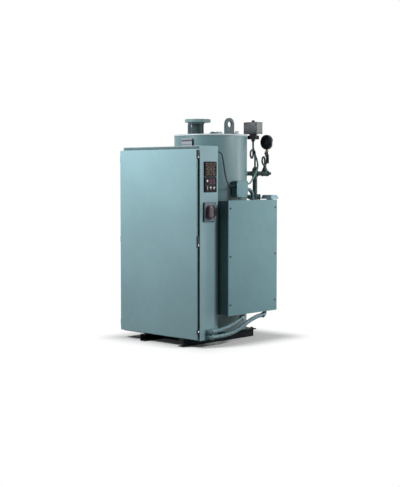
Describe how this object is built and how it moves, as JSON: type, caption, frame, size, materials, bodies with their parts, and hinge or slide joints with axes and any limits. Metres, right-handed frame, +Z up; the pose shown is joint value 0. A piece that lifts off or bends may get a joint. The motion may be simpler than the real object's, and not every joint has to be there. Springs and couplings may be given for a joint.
{
  "type": "industrial electric steam boiler",
  "caption": "Upright electric steam boiler: jacketed vessel on a channel skid, with a flat control cabinet, a terminal box, trim piping and a flanged outlet.",
  "frame": {"origin": "the point where the vessel's axis meets the floor", "axes": "+Z up, -Y towards the front of the control cabinet, +X towards the side with the terminal box"},
  "size_m": [0.8925, 0.9139, 1.635],
  "materials": {
    "grey_green_paint": "semi-gloss machine enamel",
    "base_paint": "dark satin paint",
    "iron_fittings": "painted iron",
    "plated_steel": "zinc plated",
    "plate_metal": "satin, bare",
    "panel_paint": "pale enamel",
    "black_plastic": "moulded",
    "switch_grey": "moulded",
    "black_enamel": "black enamel",
    "dark_grey_enamel": "dark grey enamel",
    "dial_face": "white card",
    "conduit_jacket": "satin flexible jacket",
    "cable_jacket": "satin cable jacket"
  },
  "bodies": {
    "boiler": {"base_channel_left": "base_paint", "base_channel_right": "base_paint", "base_cross_front": "base_paint", "base_cross_middle": "base_paint", "base_cross_rear": "base_paint", "base_deck_plate": "base_paint", "cabinet_body": "grey_green_paint", "cabinet_panel": "panel_paint", "column_link": "iron_fittings", "conduit_fittings_box": "iron_fittings", "conduit_fittings_cabinet": "iron_fittings", "control_cable": "cable_jacket", "control_cable_glands": "iron_fittings", "control_siphon": "iron_fittings", "controller_lower": "black_plastic", "controller_upper": "black_plastic", "data_plate": "plate_metal", "disconnect_plate": "switch_grey", "gauge_case": "black_enamel", "gauge_cock_body": "iron_fittings", "gauge_dial": "dial_face", "gauge_siphon": "iron_fittings", "hinge_body_leaves": "grey_green_paint", "inspection_cover": "grey_green_paint", "lifting_lug_left": "grey_green_paint", "lifting_lug_right": "grey_green_paint", "manifold": "iron_fittings", "power_conduit_front": "conduit_jacket", "power_conduit_rear": "conduit_jacket", "pressure_control_base": "black_enamel", "pressure_control_case": "dark_grey_enamel", "pressure_control_knob": "dark_grey_enamel", "probe_box_body": "grey_green_paint", "probe_box_cover": "grey_green_paint", "probe_cable": "cable_jacket", "probe_cable_glands": "iron_fittings", "probe_elbow": "iron_fittings", "steam_flange": "grey_green_paint", "steam_nozzle": "grey_green_paint", "terminal_box_body": "grey_green_paint", "terminal_box_cover": "grey_green_paint", "terminal_box_neck": "grey_green_paint", "vent_hood": "grey_green_paint", "vent_plug": "plated_steel", "vessel_bottom_head": "grey_green_paint", "vessel_jacket": "grey_green_paint", "vessel_top_cap": "grey_green_paint", "water_column": "iron_fittings", "water_column_foot": "iron_fittings"},
    "door": {"cabinet_door": "grey_green_paint", "hinge_door_leaves": "grey_green_paint", "door_clamps": "plated_steel"},
    "disconnect": {"disconnect_handle": "switch_grey"},
    "cock_lever": {"gauge_cock_lever": "plated_steel"}
  },
  "joints": [
    {"name": "door_hinge", "type": "hinge", "parent": "boiler", "child": "door", "pos_m": [-0.458, -0.487, 0.74], "axis": [0, 0, -1], "range_deg": [0, 120]},
    {"name": "disconnect_turn", "type": "hinge", "parent": "boiler", "child": "disconnect", "pos_m": [0.36, -0.3765, 0.957], "axis": [1, 0, 0], "range_deg": [0, 90]},
    {"name": "gauge_cock_turn", "type": "hinge", "parent": "boiler", "child": "cock_lever", "pos_m": [0.26594, 0.3529, 1.38], "axis": [1, 0, 0], "range_deg": [0, 90]}
  ]
}
